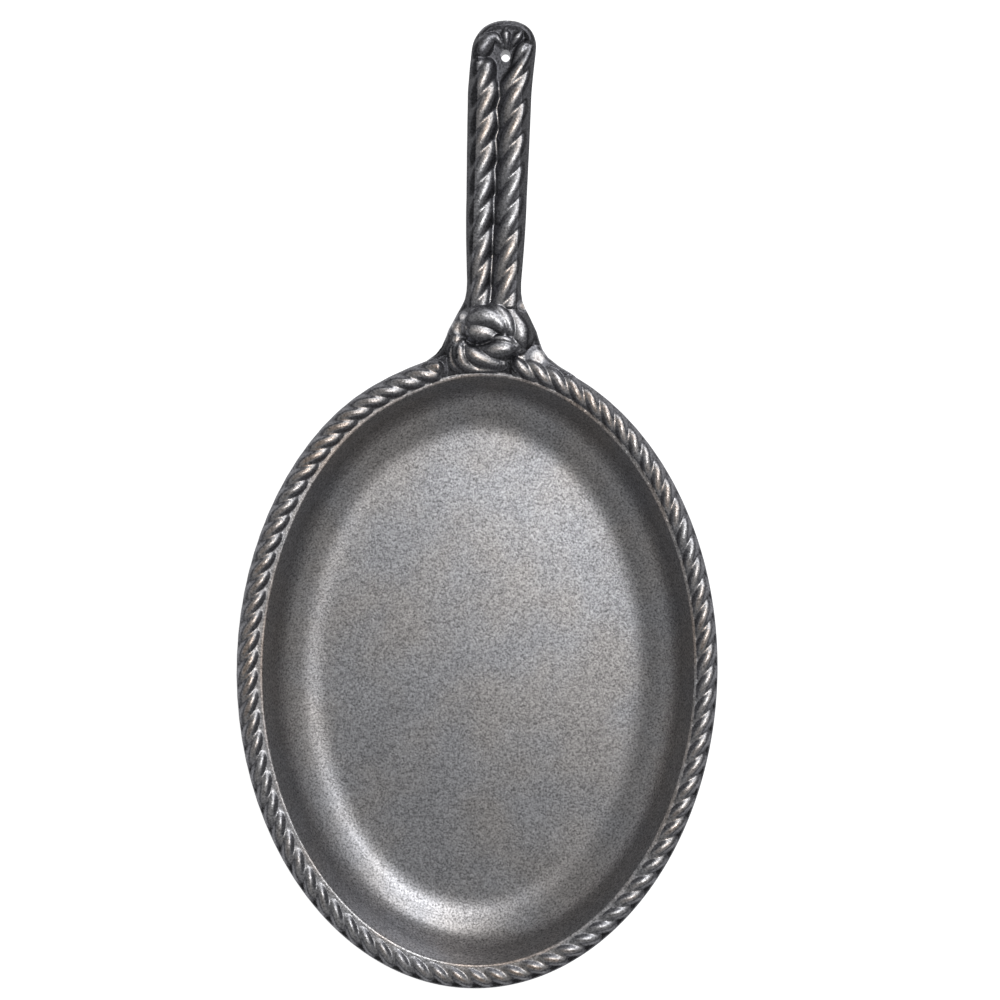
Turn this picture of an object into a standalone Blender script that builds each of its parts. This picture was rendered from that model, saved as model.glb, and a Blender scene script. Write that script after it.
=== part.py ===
# Oval griddle pan, cast in one piece: a dish with a rope round its rim, a
# handle made of two ropes side by side, and a knot where the handle starts.
# Each form of the casting is a closed solid of its own, set 0.3 mm from the
# form that carries it. Metres, +Z up, +Y from the dish towards the handle.
# The origin is on the underside of the base, below the centre of the rim.

import math

import bmesh
import bpy
from mathutils import Vector

PART_NAME = "oval_griddle_pan"
GAP = 0.0003

# Dish
RIM_LENGTH = 0.254
RIM_WIDTH = 0.1915
DISH_DEPTH = 0.0235
WALL_THICKNESS = 0.0045
LEDGE_HEIGHT = DISH_DEPTH + WALL_THICKNESS
RIM_BAND_WIDTH = 0.0105
RIM_BAND_DEPTH = 0.0065
BAND_UNDERCUT = 0.0023
BAND_EDGE_ROUND = 0.0008
WALL_ANGLE = math.radians(72)
FILLET_RADIUS = 0.017

# Rope in relief on the rim
RIM_ROPE_DIAMETER = 0.0083
RIM_ROPE_INSET = 0.0047
RIM_ROPE_SINK = 0.0008
RIM_STRANDS = 4
RIM_STRAND_PITCH = 0.0080
RIM_ROPE_LEFT_END = 0.0175
RIM_ROPE_RIGHT_END = 0.0085

# Handle bar under the ropes, measured from the end of the rim
HANDLE_OFFSET = 0.0039
HANDLE_SWING = math.radians(0.8)
HANDLE_LENGTH = 0.1296
HANDLE_RISE = math.radians(5.0)
HANDLE_THICKNESS = 0.009
HANDLE_EDGE_ROUND = 0.0025
END_WIDTH = 0.0252
MIDDLE_WIDTH = 0.0239
MIDDLE_AT = 0.060
NECK_WIDTH = 0.0215
NECK_AT = 0.027
WEB_TOP = 0.018
WEB_ANGLE = math.radians(24.6)
WEB_TOE_ROUND = 0.006
NECK_ROUND = 0.003
END_SQUARENESS = 2.4

# Hanging hole
HOLE_DIAMETER = 0.0046
HOLE_FROM_END = 0.0141
HOLE_SHIFT = 0.0019
RECESS_DIAMETER = 0.0066
RECESS_DEPTH = 0.001

# Ropes in relief on the handle
SIDE_BAND = 0.0013
HANDLE_STRANDS = 3
HANDLE_STRAND_PITCH = 0.0121
SEAM_SHIFT = -0.0009
BIGHT_STRAND_PITCH = 0.0053
BIGHT_LEAD = 0.0015

# Knot
TURN_STRANDS = 3
TURN_STRAND_PITCH = 0.0100
UPPER_TURN_RADIUS = 0.0045
INNER_TURN_RADIUS = 0.0040
RIGHT_TURN_RADIUS = 0.0046
LOWER_TURN_RADIUS = 0.0049
UPPER_TURN_LIFT = 0.0030
INNER_TURN_LIFT = 0.0030
RIGHT_TURN_LIFT = 0.0012
LOWER_TURN_LIFT = 0.0008
TURN_TAPER = 0.32
TURN_TAPER_POWER = 6

# Depth of the grooves between strands, as a share of a rope's radius
STRAND_GROOVE = 0.26

# Fineness of the solids
RING_POINTS = 96
FILLET_STEPS = 5
OUTLINE_STEP = 0.006
CORNER_STEPS = 4
END_ARC_STEPS = 8
RIM_LOBE_POINTS = 3
ROPE_LOBE_POINTS = 5
ROUND_POINTS = 16
HOLE_POINTS = 20
RIM_LINE_STEPS = 720
ROPE_LINE_STEPS = 60
BIGHT_LINE_STEPS = 32
KNOT_LINE_STEPS = 16
CUT_MARGIN = 0.02
WEB_FOOT_STEP = 0.00015
MERGE_DISTANCE = 0.00002

CAST_COLOUR = (0.16, 0.16, 0.165, 1.0)
ROPE_COLOUR = (0.19, 0.185, 0.185, 1.0)
KNOT_COLOUR = (0.21, 0.20, 0.19, 1.0)
CAST_ROUGHNESS = 0.42
SHARP_ANGLE = math.radians(45)


def clear_scene():
    for item in list(bpy.data.objects):
        bpy.data.objects.remove(item)


def new_collection(name):
    collection = bpy.data.collections.new(name)
    bpy.context.scene.collection.children.link(collection)
    return collection


def cast_metal(name, colour):
    """Bare cast metal with the grey of the photo."""
    material = bpy.data.materials.new(name)
    material.use_nodes = True
    shader = material.node_tree.nodes["Principled BSDF"]
    shader.inputs["Base Color"].default_value = colour
    shader.inputs["Metallic"].default_value = 1.0
    shader.inputs["Roughness"].default_value = CAST_ROUGHNESS
    return material


def hide_cutter(item):
    item.display_type = "WIRE"
    item.hide_render = True


def mesh_object(name, bm, collection):
    mesh = bpy.data.meshes.new(name)
    bm.to_mesh(mesh)
    bm.free()
    item = bpy.data.objects.new(name, mesh)
    collection.objects.link(item)
    return item


def curve_to_mesh(item, collection):
    """The mesh of a curve object with its caps welded on; the curve goes."""
    bpy.context.view_layer.update()
    graph = bpy.context.evaluated_depsgraph_get()
    mesh = bpy.data.meshes.new_from_object(item.evaluated_get(graph))
    bm = bmesh.new()
    bm.from_mesh(mesh)
    bmesh.ops.remove_doubles(bm, verts=bm.verts, dist=MERGE_DISTANCE)
    bmesh.ops.recalc_face_normals(bm, faces=bm.faces)
    bm.to_mesh(mesh)
    bm.free()
    name = item.name
    place = item.matrix_world.copy()
    bpy.data.objects.remove(item)
    solid = bpy.data.objects.new(name, mesh)
    solid.matrix_world = place
    collection.objects.link(solid)
    return solid


def cut(item, cutter):
    boolean = item.modifiers.new("cut by " + cutter.name, "BOOLEAN")
    boolean.operation = "DIFFERENCE"
    boolean.solver = "EXACT"
    boolean.object = cutter


def close_slits(item):
    """Joins corners that the cuts leave a hair apart."""
    weld = item.modifiers.new("weld", "WELD")
    weld.merge_threshold = MERGE_DISTANCE


def round_shading(item):
    item.data.shade_smooth()
    item.data.set_sharp_from_angle(angle=SHARP_ANGLE)


def lerp(a, b, share):
    return a + (b - a) * share


def rim_point(angle, inset):
    """Point of the rim's ellipse, moved inwards square to the outline."""
    half_width = RIM_WIDTH / 2
    half_length = RIM_LENGTH / 2
    normal = Vector((math.cos(angle) / half_width, math.sin(angle) / half_length))
    normal.normalize()
    x = half_width * math.cos(angle) - inset * normal.x
    y = half_length * math.sin(angle) - inset * normal.y
    return x, y


def loft_dish(name, section, collection):
    """Closed solid through rings that follow the rim, one for each section point."""
    bm = bmesh.new()
    rings = []
    for inset, height in section:
        ring = []
        for step in range(RING_POINTS):
            x, y = rim_point(2 * math.pi * step / RING_POINTS, inset)
            ring.append(bm.verts.new((x, y, height)))
        rings.append(ring)
    for upper, lower in zip(rings, rings[1:]):
        for step in range(RING_POINTS):
            after = (step + 1) % RING_POINTS
            bm.faces.new((upper[step], upper[after], lower[after], lower[step]))
    bm.faces.new(rings[0])
    bm.faces.new(reversed(rings[-1]))
    bmesh.ops.recalc_face_normals(bm, faces=bm.faces)
    return mesh_object(name, bm, collection)


def floor_inset():
    """Distance from the outline to where the flat floor ends."""
    wall_drop = DISH_DEPTH - FILLET_RADIUS * (1 - math.cos(WALL_ANGLE))
    wall_run = wall_drop / math.tan(WALL_ANGLE)
    return RIM_BAND_WIDTH + wall_run + FILLET_RADIUS * math.sin(WALL_ANGLE)


def fillet_points(radius, floor_height):
    """Arc from the flat floor up to the wall, as inset and height."""
    points = []
    for step in range(FILLET_STEPS + 1):
        turn = WALL_ANGLE * step / FILLET_STEPS
        inset = floor_inset() - radius * math.sin(turn)
        height = floor_height + radius * (1 - math.cos(turn))
        points.append((inset, height))
    return points


def outer_section():
    """Outside of the dish from the top of the rim band down to the base."""
    band_foot = LEDGE_HEIGHT - RIM_BAND_DEPTH
    corner = BAND_EDGE_ROUND
    eased = corner * (1 - math.sqrt(0.5))
    fillet = fillet_points(FILLET_RADIUS + WALL_THICKNESS, 0.0)
    wall_inset, wall_height = fillet[-1]
    under_height = band_foot - BAND_UNDERCUT
    under_inset = wall_inset - (under_height - wall_height) / math.tan(WALL_ANGLE)
    points = [
        (corner, LEDGE_HEIGHT),
        (eased, LEDGE_HEIGHT - eased),
        (0.0, LEDGE_HEIGHT - corner),
        (0.0, band_foot + corner),
        (corner, band_foot),
        (under_inset, under_height),
    ]
    return points + list(reversed(fillet))


def make_pan_bowl(collection):
    """Oval dish: flat floor and base, sloping wall, ledge and rim band."""
    corner = BAND_EDGE_ROUND
    inside = fillet_points(FILLET_RADIUS, WALL_THICKNESS)
    lip = [
        (RIM_BAND_WIDTH + corner / math.tan(WALL_ANGLE), LEDGE_HEIGHT - corner),
        (RIM_BAND_WIDTH - corner, LEDGE_HEIGHT),
    ]
    bowl = loft_dish("pan_bowl", inside + lip + outer_section(), collection)
    round_shading(bowl)
    bowl.data.materials.append(cast_metal("bowl cast metal", CAST_COLOUR))
    return bowl


def section_with_gap(section):
    """A section moved outwards by the gap, square to itself."""
    moved = []
    for index, (inset, height) in enumerate(section):
        before = section[max(index - 1, 0)]
        after = section[min(index + 1, len(section) - 1)]
        along = Vector((after[0] - before[0], after[1] - before[1]))
        along.normalize()
        moved.append((inset + along.y * GAP, height - along.x * GAP))
    return moved


def make_bowl_cutter(collection):
    """Outside of the dish with the gap, which trims the handle's root."""
    section = section_with_gap(outer_section()[2:])
    top = (section[0][0], LEDGE_HEIGHT + CUT_MARGIN)
    cutter = loft_dish("bowl_outside_cutter", [top] + section, collection)
    hide_cutter(cutter)
    return cutter


def handle_place(across, along, height):
    """A place in the handle's own frame, given in the pan's frame."""
    x = HANDLE_OFFSET + across * math.cos(HANDLE_SWING) + along * math.sin(HANDLE_SWING)
    y = RIM_LENGTH / 2 - across * math.sin(HANDLE_SWING) + along * math.cos(HANDLE_SWING)
    return Vector((x, y, height))


def handle_top(along):
    """Height of the bar's top face: level under the knot, then rising."""
    return LEDGE_HEIGHT + max(0.0, along - WEB_TOP) * math.tan(HANDLE_RISE)


def bar_half_width(along):
    """Half the bar's width between the neck and the start of the end curve."""
    end_at = HANDLE_LENGTH - END_WIDTH / 2
    if along < NECK_AT:
        width = NECK_WIDTH
    elif along < MIDDLE_AT:
        share = (along - NECK_AT) / (MIDDLE_AT - NECK_AT)
        width = lerp(NECK_WIDTH, MIDDLE_WIDTH, math.sin(share * math.pi / 2))
    else:
        share = min(1.0, (along - MIDDLE_AT) / (end_at - MIDDLE_AT))
        width = lerp(MIDDLE_WIDTH, END_WIDTH, math.sin(share * math.pi / 2))
    return width / 2


def web_foot():
    """Where the straight edge of the web meets the rim's outline."""
    along = WEB_TOP
    while along > -RIM_LENGTH / 4:
        across = NECK_WIDTH / 2 + (WEB_TOP - along) * math.tan(WEB_ANGLE)
        x, y, _ = handle_place(across, along, 0.0)
        if (x / (RIM_WIDTH / 2)) ** 2 + (y / (RIM_LENGTH / 2)) ** 2 <= 1.0:
            break
        along -= WEB_FOOT_STEP
    fall = Vector((y / RIM_LENGTH ** 2, -x / RIM_WIDTH ** 2)).normalized()
    return Vector((across, along)), fall


def rounded_corner(before, corner, after):
    """Points of a curve that leaves one side of a corner and joins the other."""
    points = []
    for step in range(CORNER_STEPS + 1):
        share = step / CORNER_STEPS
        points.append(before.lerp(corner, share).lerp(corner.lerp(after, share), share))
    return points


def half_outline():
    """Right half of the bar's outline, from inside the rim to the end."""
    foot, fall = web_foot()
    climb = Vector((-math.sin(WEB_ANGLE), math.cos(WEB_ANGLE)))
    neck = Vector((NECK_WIDTH / 2, WEB_TOP))
    upwards = Vector((0.0, NECK_ROUND))
    points = [foot - Vector((0.0, RIM_BAND_WIDTH))]
    points += rounded_corner(foot + fall * WEB_TOE_ROUND, foot, foot + climb * WEB_TOE_ROUND)
    points += rounded_corner(neck - climb * NECK_ROUND, neck, neck + upwards)
    end_at = HANDLE_LENGTH - END_WIDTH / 2
    stretches = round((end_at - NECK_AT) / OUTLINE_STEP)
    for step in range(stretches):
        along = lerp(NECK_AT, end_at, step / stretches)
        points.append(Vector((bar_half_width(along), along)))
    power = 2 / END_SQUARENESS
    for step in range(END_ARC_STEPS):
        turn = math.pi / 2 * step / END_ARC_STEPS
        across = END_WIDTH / 2 * math.cos(turn) ** power
        reach = END_WIDTH / 2 * math.sin(turn) ** power
        points.append(Vector((across, end_at + reach)))
    return points


def make_handle_core(collection, bowl_cutter, hole_cutter, recess_cutter):
    """Plain bar with a flared root, level under the knot and then rising."""
    right = half_outline()
    left = [(-across, along) for across, along in reversed(right)]
    outline = right + [(0.0, HANDLE_LENGTH)] + left
    curve = bpy.data.curves.new("handle_core", "CURVE")
    curve.dimensions = "2D"
    curve.fill_mode = "BOTH"
    curve.extrude = HANDLE_THICKNESS / 2 - HANDLE_EDGE_ROUND
    curve.bevel_depth = HANDLE_EDGE_ROUND
    curve.bevel_resolution = 2
    curve.offset = -HANDLE_EDGE_ROUND
    spline = curve.splines.new("POLY")
    spline.points.add(len(outline) - 1)
    for point, (across, along) in zip(spline.points, outline):
        point.co = (across, along, 0.0, 1.0)
    spline.use_cyclic_u = True
    item = bpy.data.objects.new("handle_core", curve)
    item.location = (0.0, 0.0, LEDGE_HEIGHT - HANDLE_THICKNESS / 2)
    collection.objects.link(item)
    core = curve_to_mesh(item, collection)
    bm = bmesh.new()
    bm.from_mesh(core.data)
    every = bm.verts[:] + bm.edges[:] + bm.faces[:]
    bmesh.ops.bisect_plane(bm, geom=every, plane_co=(0, WEB_TOP, 0), plane_no=(0, 1, 0))
    for vert in bm.verts:
        lift = handle_top(vert.co.y) - LEDGE_HEIGHT
        height = vert.co.z + core.location.z + lift
        vert.co = handle_place(vert.co.x, vert.co.y, height)
    bm.to_mesh(core.data)
    bm.free()
    core.location = (0.0, 0.0, 0.0)
    cut(core, bowl_cutter)
    cut(core, hole_cutter)
    cut(core, recess_cutter)
    round_shading(core)
    core.data.materials.append(cast_metal("handle cast metal", CAST_COLOUR))
    return core


def strand_profile(name, strands, points, groove, collection):
    """Section of a rope with unit radius: a lobe for each strand."""
    curve = bpy.data.curves.new(name, "CURVE")
    curve.dimensions = "2D"
    spline = curve.splines.new("POLY")
    count = strands * points
    spline.points.add(count - 1)
    for index in range(count):
        share = (index % points) / points
        radius = 1.0 - groove * (1 - 2 * share) ** 2
        turn = 2 * math.pi * index / count
        spline.points[index].co = (radius * math.cos(turn), radius * math.sin(turn), 0, 1)
    spline.use_cyclic_u = True
    item = bpy.data.objects.new(name, curve)
    collection.objects.link(item)
    hide_cutter(item)
    return item


def sweep(name, path, radii, profile, tilts, collection):
    """Solid swept along a path; each point has its own radius and twist."""
    curve = bpy.data.curves.new(name, "CURVE")
    curve.dimensions = "3D"
    curve.twist_mode = "Z_UP"
    spline = curve.splines.new("POLY")
    spline.points.add(len(path) - 1)
    for point, place, radius, tilt in zip(spline.points, path, radii, tilts):
        point.co = (place.x, place.y, place.z, 1.0)
        point.radius = radius
        point.tilt = tilt
    curve.bevel_mode = "OBJECT"
    curve.bevel_object = profile
    curve.use_fill_caps = True
    item = bpy.data.objects.new(name, curve)
    collection.objects.link(item)
    return curve_to_mesh(item, collection)


def evenly(points, spacing):
    """The same line with its points about one spacing apart."""
    lengths = [0.0]
    for before, after in zip(points, points[1:]):
        lengths.append(lengths[-1] + (after - before).length)
    count = max(2, round(lengths[-1] / spacing))
    result = []
    index = 0
    for step in range(count + 1):
        wanted = lengths[-1] * step / count
        while index < len(points) - 2 and lengths[index + 1] < wanted:
            index += 1
        span = lengths[index + 1] - lengths[index]
        share = (wanted - lengths[index]) / span
        result.append(points[index].lerp(points[index + 1], share))
    return result


def smooth_line(points):
    """A smooth curve through a few points, as a dense line."""
    first = points[0] * 2 - points[1]
    last = points[-1] * 2 - points[-2]
    padded = [first] + list(points) + [last]
    line = []
    for index in range(1, len(padded) - 2):
        p0, p1, p2, p3 = padded[index - 1:index + 3]
        for step in range(KNOT_LINE_STEPS):
            t = step / KNOT_LINE_STEPS
            place = p1 * 2 + (p2 - p0) * t
            place = place + (p0 * 2 - p1 * 5 + p2 * 4 - p3) * t ** 2
            place = place + (p1 * 3 - p0 - p2 * 3 + p3) * t ** 3
            line.append(place / 2)
    line.append(points[-1])
    return line


def lay_tilts(count, strands, points):
    """Twist of a right-hand lay, one profile point further at each ring."""
    return [2 * math.pi / (strands * points) * index for index in range(count)]


def rope(name, line, radius, strands, pitch, points, profile, collection):
    """A rope along a line; radius is a function of the place's share along it."""
    path = evenly(line, pitch / points)
    last = len(path) - 1
    radii = [radius(index / last) for index in range(last + 1)]
    return sweep(name, path, radii, profile, lay_tilts(last + 1, strands, points), collection)


def turn_taper(share):
    """A turn is thickest at its middle and tucks in towards both ends."""
    return 1.0 - TURN_TAPER * abs(2 * share - 1) ** TURN_TAPER_POWER


def turn_cutter(name, line, radius, profile, collection):
    """Round tube that leaves a gap round a turn of the knot, ends too."""
    path = evenly(line, TURN_STRAND_PITCH / ROPE_LOBE_POINTS)
    last = len(path) - 1
    path[0] = path[0] + (path[0] - path[1]).normalized() * GAP
    path[-1] = path[-1] + (path[-1] - path[-2]).normalized() * GAP
    radii = [radius * turn_taper(index / last) + GAP for index in range(last + 1)]
    tube = sweep(name, path, radii, profile, [0.0] * len(path), collection)
    hide_cutter(tube)
    return tube


def ground_cutter(name, along, rise, collection):
    """Block whose top face is one gap above the face that a relief sits on."""
    size = RIM_LENGTH * 2
    bm = bmesh.new()
    bmesh.ops.create_cube(bm, size=size)
    block = mesh_object(name, bm, collection)
    top = handle_place(0.0, along, handle_top(along) + GAP / math.cos(rise))
    for vert in block.data.vertices:
        vert.co.z -= size / 2
    block.rotation_euler = (rise, 0.0, -HANDLE_SWING)
    block.location = top
    hide_cutter(block)
    return block


def rim_rope_line():
    """Line of the rim's rope, from the knot's left side to its right."""
    half_width = RIM_WIDTH / 2 - RIM_ROPE_INSET
    left = math.acos((HANDLE_OFFSET - RIM_ROPE_LEFT_END) / half_width)
    right = math.acos((HANDLE_OFFSET + RIM_ROPE_RIGHT_END) / half_width)
    height = LEDGE_HEIGHT - RIM_ROPE_SINK
    line = []
    for step in range(RIM_LINE_STEPS + 1):
        angle = lerp(left, right + 2 * math.pi, step / RIM_LINE_STEPS)
        x, y = rim_point(angle, RIM_ROPE_INSET)
        line.append(Vector((x, y, height)))
    return line


def make_rim_rope(collection, profile, ground, knot_cutters):
    """Four-strand rope in relief on the rim band."""
    item = rope("rim_rope", rim_rope_line(), lambda share: RIM_ROPE_DIAMETER / 2,
                RIM_STRANDS, RIM_STRAND_PITCH, RIM_LOBE_POINTS, profile, collection)
    cut(item, ground)
    for cutter in knot_cutters:
        cut(item, cutter)
    round_shading(item)
    item.data.materials.append(cast_metal("rim rope cast metal", ROPE_COLOUR))
    return item


def rope_radius_at(side, along):
    """Each rope fills the bar's width between the seam and a plain band."""
    seam_side = bar_half_width(along) - side * SEAM_SHIFT
    return (seam_side - SIDE_BAND - GAP / 2) / 2


def rope_line(side, start, end):
    """Middle line of one of the handle's ropes; side is -1 left, 1 right."""
    line = []
    for step in range(ROPE_LINE_STEPS + 1):
        along = lerp(start, end, step / ROPE_LINE_STEPS)
        across = SEAM_SHIFT + side * (rope_radius_at(side, along) + GAP / 2)
        line.append(handle_place(across, along, handle_top(along)))
    return line


def bight_radius():
    """The bend's rope is the mean of the two ropes that it joins."""
    end_at = HANDLE_LENGTH - END_WIDTH / 2
    return (rope_radius_at(-1, end_at) + rope_radius_at(1, end_at)) / 2


def bight_middle():
    """The end bend goes round the hanging hole."""
    return HANDLE_LENGTH - HOLE_FROM_END


def make_handle_rope(side, name, collection, profile, ground, cutters):
    """Three-strand rope in relief along the handle, from the knot to the bend."""
    start = WEB_TOP + GAP
    end = bight_middle() - BIGHT_LEAD - GAP
    item = rope(name, rope_line(side, start, end),
                lambda share: rope_radius_at(side, lerp(start, end, share)),
                HANDLE_STRANDS, HANDLE_STRAND_PITCH, ROPE_LOBE_POINTS, profile, collection)
    cut(item, ground)
    for cutter in cutters:
        cut(item, cutter)
    close_slits(item)
    round_shading(item)
    item.data.materials.append(cast_metal(name + " cast metal", ROPE_COLOUR))
    return item


def make_handle_bight(collection, profile, ground, recess_cutter):
    """Bend that joins the two ropes round the hanging hole."""
    radius = bight_radius()
    middle = bight_middle()
    bend = radius + GAP / 2
    places = [(-bend, middle - BIGHT_LEAD)]
    for step in range(BIGHT_LINE_STEPS + 1):
        turn = math.pi * (1 - step / BIGHT_LINE_STEPS)
        places.append((bend * math.cos(turn), middle + bend * math.sin(turn)))
    places.append((bend, middle - BIGHT_LEAD))
    line = []
    for across, along in places:
        line.append(handle_place(across, along, handle_top(along)))
    item = rope("handle_bight", line, lambda share: radius,
                HANDLE_STRANDS, BIGHT_STRAND_PITCH, ROPE_LOBE_POINTS, profile, collection)
    cut(item, ground)
    cut(item, recess_cutter)
    round_shading(item)
    item.data.materials.append(cast_metal("bight cast metal", ROPE_COLOUR))
    return item


def round_cutter(name, diameter, bottom, collection):
    """Upright drill at the hanging hole, from a height up past the ropes."""
    along = HANDLE_LENGTH - HOLE_FROM_END
    top = handle_top(along) + HANDLE_THICKNESS + END_WIDTH
    bm = bmesh.new()
    bmesh.ops.create_cone(bm, cap_ends=True, segments=HOLE_POINTS, radius1=diameter / 2,
                          radius2=diameter / 2, depth=top - bottom)
    cutter = mesh_object(name, bm, collection)
    cutter.location = handle_place(HOLE_SHIFT, along, (top + bottom) / 2)
    hide_cutter(cutter)
    return cutter


def knot_line(points, lift):
    """Line of a turn from its across and along places, in millimetres."""
    places = [handle_place(a / 1000, b / 1000, LEDGE_HEIGHT + lift) for a, b in points]
    return smooth_line(places)


UPPER_TURN = ((-6.2, 9.0), (-5.6, 12.6), (-3.2, 14.9), (0.2, 14.9), (2.9, 12.8), (3.4, 9.4), (1.9, 6.6))
INNER_TURN = ((-7.6, 7.2), (-4.8, 5.6), (-1.4, 4.9), (2.2, 5.0), (5.6, 6.2))
RIGHT_TURN = ((4.1, 16.8), (8.3, 15.4), (11.0, 11.6), (11.5, 6.8), (9.9, 2.4), (7.0, -0.8))
LOWER_TURN = ((-11.4, 5.4), (-11.2, 1.6), (-9.0, -1.8), (-5.2, -3.7), (-0.6, -4.0), (3.8, -2.9), (6.8, -0.6))


def make_turn(name, line, radius, collection, profile, cutters):
    """One turn of the knot's rope, trimmed by what lies over or under it."""
    item = rope(name, line, lambda share: radius * turn_taper(share), TURN_STRANDS,
                TURN_STRAND_PITCH, ROPE_LOBE_POINTS, profile, collection)
    for cutter in cutters:
        cut(item, cutter)
    close_slits(item)
    round_shading(item)
    item.data.materials.append(cast_metal(name + " cast metal", KNOT_COLOUR))
    return item


def main():
    clear_scene()
    pan = new_collection(PART_NAME)
    guides = new_collection("cutters_and_guides")

    four_strand = strand_profile("four_strand_profile", RIM_STRANDS, RIM_LOBE_POINTS,
                                 STRAND_GROOVE, guides)
    three_strand = strand_profile("three_strand_profile", HANDLE_STRANDS, ROPE_LOBE_POINTS,
                                  STRAND_GROOVE, guides)
    plain_round = strand_profile("round_profile", 1, ROUND_POINTS, 0.0, guides)
    bowl_cutter = make_bowl_cutter(guides)
    level_ground = ground_cutter("level_ground_cutter", 0.0, 0.0, guides)
    sloped_ground = ground_cutter("sloped_ground_cutter", WEB_TOP, HANDLE_RISE, guides)
    hole_top = handle_top(HANDLE_LENGTH - HOLE_FROM_END)
    hole_cutter = round_cutter("hole_cutter", HOLE_DIAMETER,
                               hole_top - HANDLE_THICKNESS * 2, guides)
    recess_cutter = round_cutter("recess_cutter", RECESS_DIAMETER,
                                 hole_top - RECESS_DEPTH, guides)

    upper_line = knot_line(UPPER_TURN, UPPER_TURN_LIFT)
    inner_line = knot_line(INNER_TURN, INNER_TURN_LIFT)
    right_line = knot_line(RIGHT_TURN, RIGHT_TURN_LIFT)
    lower_line = knot_line(LOWER_TURN, LOWER_TURN_LIFT)
    upper_cutter = turn_cutter("upper_turn_cutter", upper_line, UPPER_TURN_RADIUS,
                              plain_round, guides)
    inner_cutter = turn_cutter("inner_turn_cutter", inner_line, INNER_TURN_RADIUS,
                              plain_round, guides)
    right_cutter = turn_cutter("right_turn_cutter", right_line, RIGHT_TURN_RADIUS,
                              plain_round, guides)
    lower_cutter = turn_cutter("lower_turn_cutter", lower_line, LOWER_TURN_RADIUS,
                              plain_round, guides)
    knot_cutters = [upper_cutter, inner_cutter, right_cutter, lower_cutter]

    make_pan_bowl(pan)
    make_rim_rope(pan, four_strand, level_ground, [right_cutter, lower_cutter])
    make_handle_core(pan, bowl_cutter, hole_cutter, recess_cutter)
    make_handle_rope(-1, "handle_rope_left", pan, three_strand, sloped_ground, knot_cutters[:1])
    make_handle_rope(1, "handle_rope_right", pan, three_strand, sloped_ground,
                     [upper_cutter, right_cutter, recess_cutter])
    make_handle_bight(pan, three_strand, sloped_ground, recess_cutter)
    make_turn("knot_upper_turn", upper_line, UPPER_TURN_RADIUS, pan, three_strand,
              [level_ground])
    make_turn("knot_inner_turn", inner_line, INNER_TURN_RADIUS, pan, three_strand,
              [upper_cutter, level_ground])
    make_turn("knot_right_turn", right_line, RIGHT_TURN_RADIUS, pan, three_strand,
              [upper_cutter, inner_cutter, level_ground])
    make_turn("knot_lower_turn", lower_line, LOWER_TURN_RADIUS, pan, three_strand,
              [upper_cutter, inner_cutter, right_cutter, level_ground])


main()
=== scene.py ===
import math

import bmesh
import bpy
import numpy as np
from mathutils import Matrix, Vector


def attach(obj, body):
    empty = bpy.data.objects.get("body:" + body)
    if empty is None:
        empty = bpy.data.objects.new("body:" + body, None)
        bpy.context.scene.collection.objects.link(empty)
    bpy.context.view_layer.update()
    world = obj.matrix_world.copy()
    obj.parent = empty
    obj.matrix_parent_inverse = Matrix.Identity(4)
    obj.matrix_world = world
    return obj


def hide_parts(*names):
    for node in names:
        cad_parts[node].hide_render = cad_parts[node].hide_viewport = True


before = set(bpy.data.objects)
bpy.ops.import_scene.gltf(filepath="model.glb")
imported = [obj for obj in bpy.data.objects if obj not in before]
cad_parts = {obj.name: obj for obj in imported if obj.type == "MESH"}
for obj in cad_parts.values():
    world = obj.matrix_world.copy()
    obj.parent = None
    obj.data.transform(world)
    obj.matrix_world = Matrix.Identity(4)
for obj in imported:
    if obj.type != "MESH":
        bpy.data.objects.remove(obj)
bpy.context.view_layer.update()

bl_info = {
    "name": "Oval griddle pan",
    "version": (1, 0, 0),
    "blender": (4, 5, 0),
    "location": "3D View > Sidebar > Griddle pan",
    "description": "Cast oval griddle pan with a rope rim, a rope handle and a knot",
    "category": "Add Mesh",
}

MM = 0.001

# Rings of the relief, as shares of one strand from its crest to the next
STRAND_COLUMNS = (0.0, 0.09, 0.18, 0.27, 0.35, 0.42, 0.465, 0.5, 0.535, 0.58, 0.65, 0.73, 0.82, 0.91)
KNOT_COLUMNS = 30
DENSE_FROM = -0.02
DENSE_HALF = 0.021
ROPE_ROWS = 26
ROPE_REACH = math.radians(78)
CORNER_PARTS = (0.04, 0.12, 0.35)
EDGE_ROWS = 3
LEDGE_ROWS = 7
LIP_ROWS = 4
LIP_SHARE = 0.8
WALL_DEPTHS = (0.0012, 0.0024, 0.0037)

# Handle grid
HANDLE_ROW_STEP = 0.00036
KNOT_ROW_STEP = 0.00025
HANDLE_COLUMNS = 128
HANDLE_START = -0.0096
KNOT_END = 0.022
KNOT_HALF_WIDTH = 0.0175
KNOT_SHARE = 0.86
TIP_ROWS = 60
BOTTOM_COLUMNS = 40
WIDTH_ROUNDS = 60
OUTLINE_FROM = -0.012
OUTLINE_POINTS = 2400
CHUNK = 4000

# How bright each place is painted, from painted shade in low places to 1 for painted highlights on the
# crests of the relief; the bright crests stand partly for real rubbing
DEEP_SHADE_TONE = 0.30
LOW_SHADE_TONE = 0.33
RIM_SHADE_TONE = 0.34
BESIDE_SHADE_TONE = 0.35
RIM_LEAST_TONE = 0.40
STEEP_SHADE_TONE = 0.45
DARK_TONE = 0.88
DISH_TONE = 0.97
LIP_HIGHLIGHT_TONE = 0.99
CREST_HIGHLIGHT_TONE = 0.998

# Where painted shade and painted highlights change, in the handle's frame: the area round the knot, and
# its low places
KNOT_AREA_FROM = -0.012
KNOT_AREA_HALF = 0.034
LOW_FROM = 0.098
LOW_TO = 0.022
LOW_BESIDE = 0.0085
LOW_MARGIN = 0.0006
KNOT_TOP_FROM = -0.004
KNOT_TOP_TO = 0.0195
KNOT_TOP_HALF = 0.0145
BEND_MIDDLE = 0.0035
BEND_HALF = 0.0052

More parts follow.
